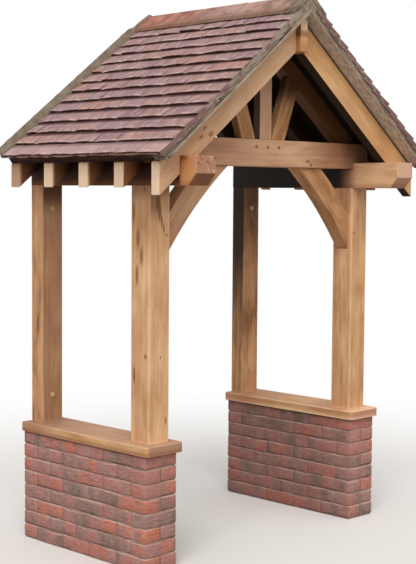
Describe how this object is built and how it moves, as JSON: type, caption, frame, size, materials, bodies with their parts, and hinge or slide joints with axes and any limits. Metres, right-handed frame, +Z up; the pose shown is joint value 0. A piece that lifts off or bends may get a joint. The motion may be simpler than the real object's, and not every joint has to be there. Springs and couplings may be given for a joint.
{
  "type": "porch canopy",
  "caption": "Oak-framed gabled porch canopy on two dwarf brick walls, with an open truss, curved braces and a plain tiled roof.",
  "frame": {"origin": "on the floor, centred in width and in overall depth", "axes": "+X to the right along the house wall as seen from outside, +Y into the house wall, +Z up"},
  "size_m": [2.1916, 1.3, 2.965],
  "materials": {
    "oak": "matte",
    "brick": "matte",
    "clay_tile": "matte",
    "ridge_tile": "matte",
    "mortar": "matte",
    "undercloak": "matte",
    "board": "matte"
  },
  "bodies": {
    "root": {"arch_brace_left": "oak", "arch_brace_right": "oak", "barge_rafter_left": "oak", "barge_rafter_right": "oak", "battens_left": "board", "battens_right": "board", "common_rafter_1_left": "oak", "common_rafter_1_right": "oak", "common_rafter_2_left": "oak", "common_rafter_2_right": "oak", "common_rafter_3_left": "oak", "common_rafter_3_right": "oak", "dwarf_wall_left": "brick", "dwarf_wall_right": "brick", "front_post_left": "oak", "front_post_right": "oak", "king_strut": "oak", "leaning_strut_left": "oak", "leaning_strut_right": "oak", "principal_rafter_left": "oak", "principal_rafter_right": "oak", "rear_post_left": "oak", "rear_post_right": "oak", "ridge_beam": "oak", "ridge_bedding_left": "mortar", "ridge_bedding_right": "mortar", "ridge_capping": "ridge_tile", "roof_board_left": "board", "roof_board_right": "board", "sill_left": "oak", "sill_right": "oak", "tie_beam": "oak", "tile_slope_left": "clay_tile", "tile_slope_right": "clay_tile", "undercloak_left": "undercloak", "undercloak_right": "undercloak", "verge_bedding_left": "mortar", "verge_bedding_right": "mortar", "wall_fillet_left": "mortar", "wall_fillet_right": "mortar", "wall_plate_left": "oak", "wall_plate_right": "oak"}
  },
  "joints": []
}
